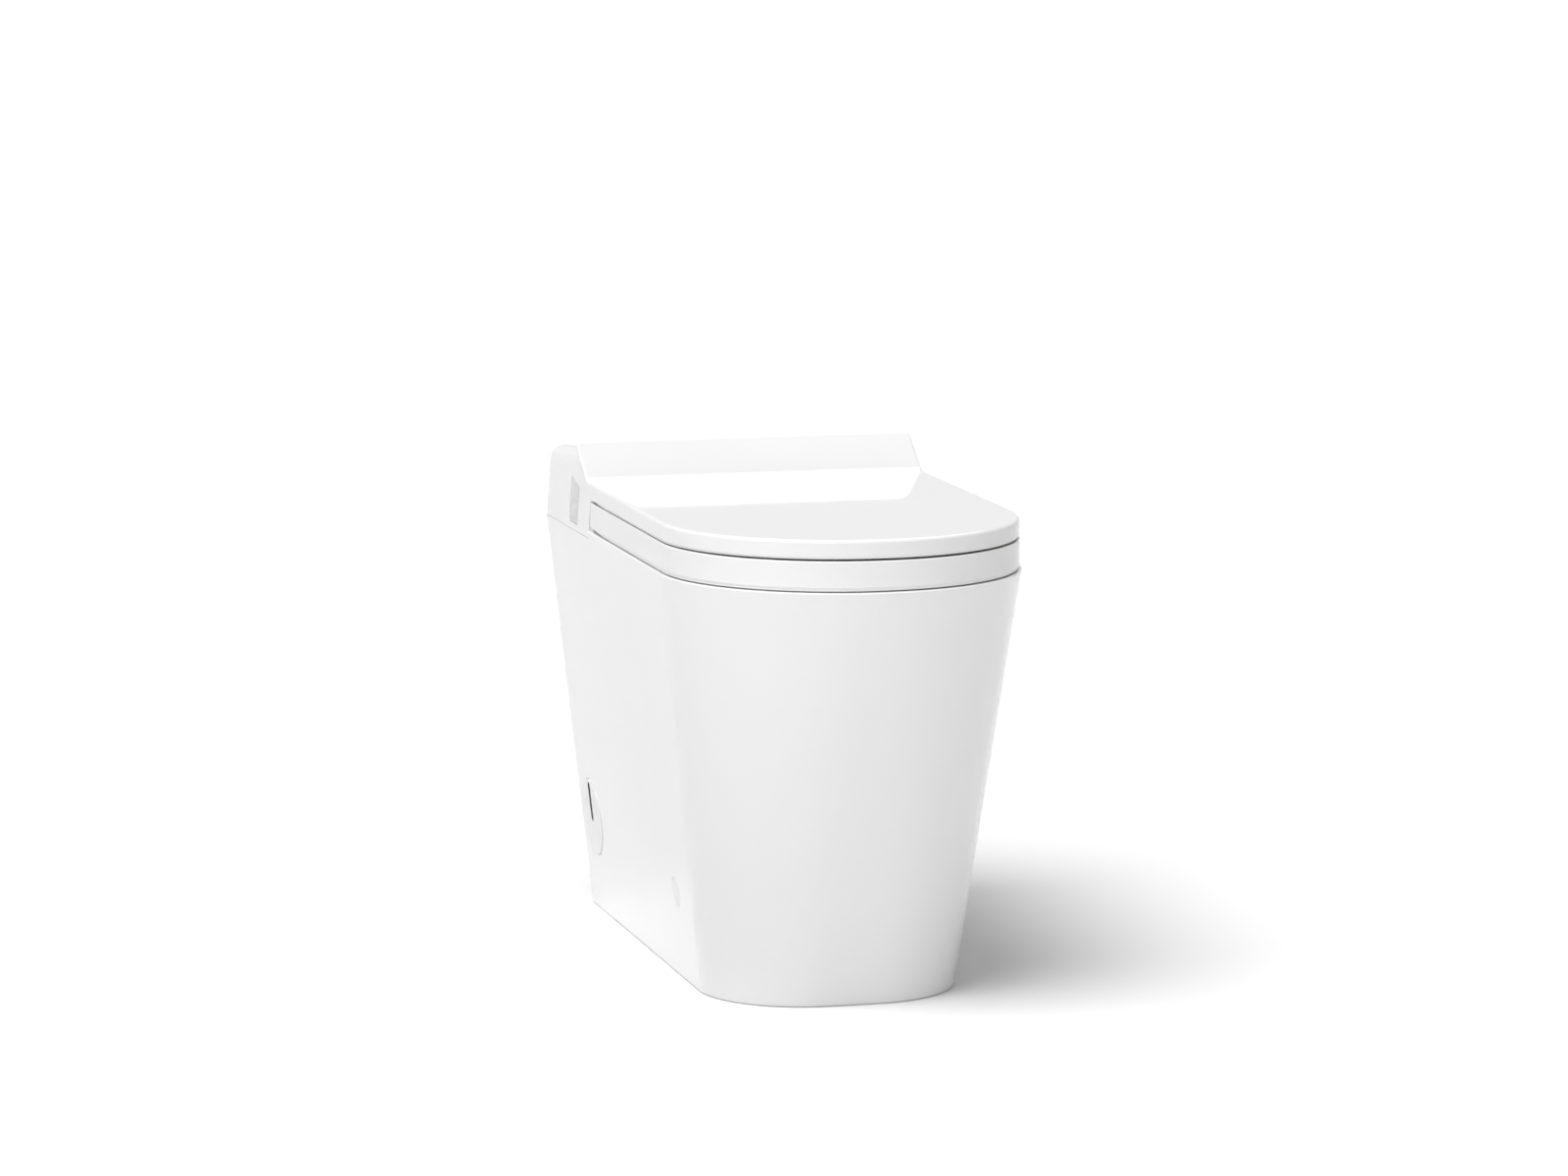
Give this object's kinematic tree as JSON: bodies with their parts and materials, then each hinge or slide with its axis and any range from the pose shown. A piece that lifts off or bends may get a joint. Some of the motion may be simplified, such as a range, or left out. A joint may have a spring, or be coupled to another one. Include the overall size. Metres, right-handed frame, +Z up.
{
  "type": "smart toilet",
  "caption": "Skirted floor-standing toilet with an integrated seat unit: soft-close lid and heated ring, sliding wash wand, side keys and a concealed floor drain.",
  "frame": {"origin": "middle of the footprint on the finished floor: mid width, mid depth, underside of the ceramic foot", "axes": "+Z up, -Y towards the nose of the bowl and the user, +Y towards the wall behind, +X to the right as seen from the front"},
  "size_m": [0.3522, 0.6812, 0.505],
  "materials": {
    "glaze": "gloss white glaze",
    "white_plastic": "gloss white moulding",
    "grey_plastic": "satin light grey moulding",
    "dark_plastic": "matt dark grey moulding",
    "pipe_plastic": "matt pale grey moulding",
    "bumper_rubber": "soft grey rubber",
    "seal_rubber": "black sealing rubber",
    "steel": "brushed stainless steel",
    "brass": "machined brass",
    "heater_film": "amber heater film with a copper track"
  },
  "bodies": {
    "root": {"ceramic_body": "glaze", "drain_elbow": "pipe_plastic", "drain_gasket": "seal_rubber", "floor_seal": "seal_rubber", "access_cover_left": "white_plastic", "access_cover_right": "white_plastic", "bolt_cap_left": "white_plastic", "bolt_cap_right": "white_plastic", "side_screw_left": "steel", "side_screw_right": "steel", "floor_bracket_left": "steel", "floor_bracket_right": "steel", "rear_housing": "white_plastic", "control_panel": "grey_plastic", "base_plate": "dark_plastic", "deck_bolt_left": "steel", "deck_nut_left": "steel", "deck_bolt_right": "steel", "deck_nut_right": "steel", "hinge_shaft_left": "steel", "hinge_shaft_right": "steel", "lid_damper": "dark_plastic", "seat_damper": "dark_plastic", "wand_guide": "grey_plastic", "wand_motor": "dark_plastic", "water_heater": "pipe_plastic", "control_box": "dark_plastic", "dryer_fan": "dark_plastic", "dryer_duct": "pipe_plastic", "deodoriser_filter": "grey_plastic", "power_gland": "dark_plastic", "pump_cradle": "steel", "flush_pump": "dark_plastic", "rim_pipe": "pipe_plastic", "inlet_valve": "brass"},
    "lid": {"lid": "white_plastic", "lid_underside": "white_plastic", "lid_bumper_left": "bumper_rubber", "lid_bumper_right": "bumper_rubber"},
    "seat": {"seat_ring": "white_plastic", "seat_heater": "heater_film", "seat_underside": "white_plastic", "seat_bumper_front_left": "bumper_rubber", "seat_bumper_front_right": "bumper_rubber", "seat_bumper_rear_left": "bumper_rubber", "seat_bumper_rear_right": "bumper_rubber"},
    "wand": {"wand_shield": "white_plastic", "spray_nozzle": "steel", "wand_tube": "steel"},
    "flush_key": {"flush_button": "grey_plastic"},
    "stop_key": {"stop_button": "grey_plastic"}
  },
  "joints": [
    {"name": "lid_hinge", "type": "hinge", "parent": "root", "child": "lid", "pos_m": [0, 0.213, 0.49], "axis": [-1, 0, 0], "range_deg": [0, 95]},
    {"name": "seat_hinge", "type": "hinge", "parent": "root", "child": "seat", "pos_m": [0, 0.213, 0.49], "axis": [-1, 0, 0], "range_deg": [0, 90.3]},
    {"name": "wand_slide", "type": "slide", "parent": "root", "child": "wand", "axis": [0, -0.966, -0.2585], "range_m": [0, 0.118]},
    {"name": "flush_key_press", "type": "slide", "parent": "root", "child": "flush_key", "axis": [0.9973, 0, -0.073], "range_m": [0, 0.0009], "stiffness_N_per_m": 500, "springref_m": -0.0004},
    {"name": "stop_key_press", "type": "slide", "parent": "root", "child": "stop_key", "axis": [0.9973, 0, -0.073], "range_m": [0, 0.0009], "stiffness_N_per_m": 500, "springref_m": -0.0004}
  ],
  "couplings": [
    {"joint": "seat_hinge", "follows": "lid_hinge", "ratio": 0.95}
  ]
}
